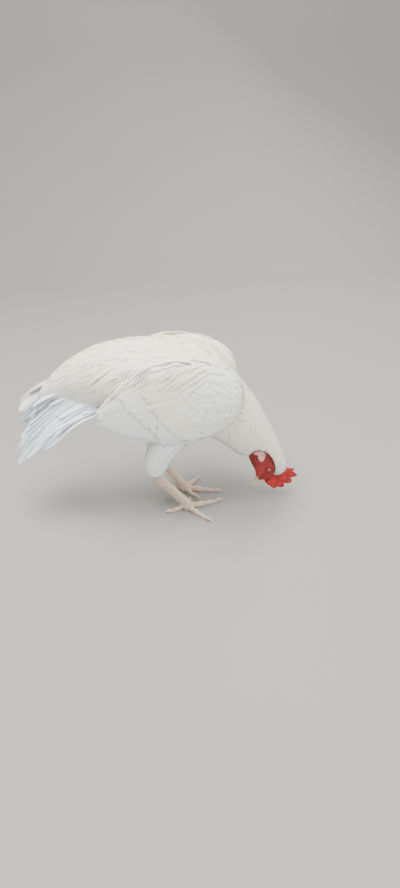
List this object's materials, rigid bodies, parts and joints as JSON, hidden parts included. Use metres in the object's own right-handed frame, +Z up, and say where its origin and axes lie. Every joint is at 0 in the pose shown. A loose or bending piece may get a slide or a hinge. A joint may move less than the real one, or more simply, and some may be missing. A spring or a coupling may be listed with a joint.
{
  "type": "rooster standing with its head lowered to peck, life-size still model",
  "caption": "Life-size white rooster standing on both feet, neck reached down to peck, tail drooping, wings folded over the flanks.",
  "frame": {"origin": "on the floor, under the middle of the bird's bounding box", "axes": "+X the way the bird faces, +Y its left side, +Z up"},
  "size_m": [0.5352, 0.186, 0.3415],
  "materials": {
    "plumage": "white feathers, cream on the neck, back and saddle, matt",
    "tail_plumage": "cold white long feathers, slight sheen",
    "red_skin": "bare red comb, face and wattles, finely beaded, satin",
    "ear_skin": "pale pink ear lobe, soft satin",
    "leg_skin": "pinkish tan scaled skin, satin",
    "horn": "pale horn, satin",
    "eye": "orange iris and black pupil under a clear wet cornea"
  },
  "bodies": {
    "root": {"trunk": "plumage", "rump": "plumage", "neck_lower": "plumage", "neck_upper": "plumage", "head": "red_skin", "comb": "red_skin", "bill_upper": "horn", "bill_lower": "horn", "eye_left": "eye", "wattle_left": "red_skin", "ear_lobe_left": "ear_skin", "wing_shoulder_left": "plumage", "wing_flight_left": "plumage", "tail_left": "tail_plumage", "thigh_left": "plumage", "shank_left": "leg_skin", "spur_left": "horn", "toe_middle_left": "leg_skin", "claw_middle_left": "horn", "toe_inner_left": "leg_skin", "claw_inner_left": "horn", "toe_outer_left": "leg_skin", "claw_outer_left": "horn", "toe_hind_left": "leg_skin", "claw_hind_left": "horn", "eye_right": "eye", "wattle_right": "red_skin", "ear_lobe_right": "ear_skin", "wing_shoulder_right": "plumage", "wing_flight_right": "plumage", "tail_right": "tail_plumage", "thigh_right": "plumage", "shank_right": "leg_skin", "spur_right": "horn", "toe_middle_right": "leg_skin", "claw_middle_right": "horn", "toe_inner_right": "leg_skin", "claw_inner_right": "horn", "toe_outer_right": "leg_skin", "claw_outer_right": "horn", "toe_hind_right": "leg_skin", "claw_hind_right": "horn"}
  },
  "joints": []
}
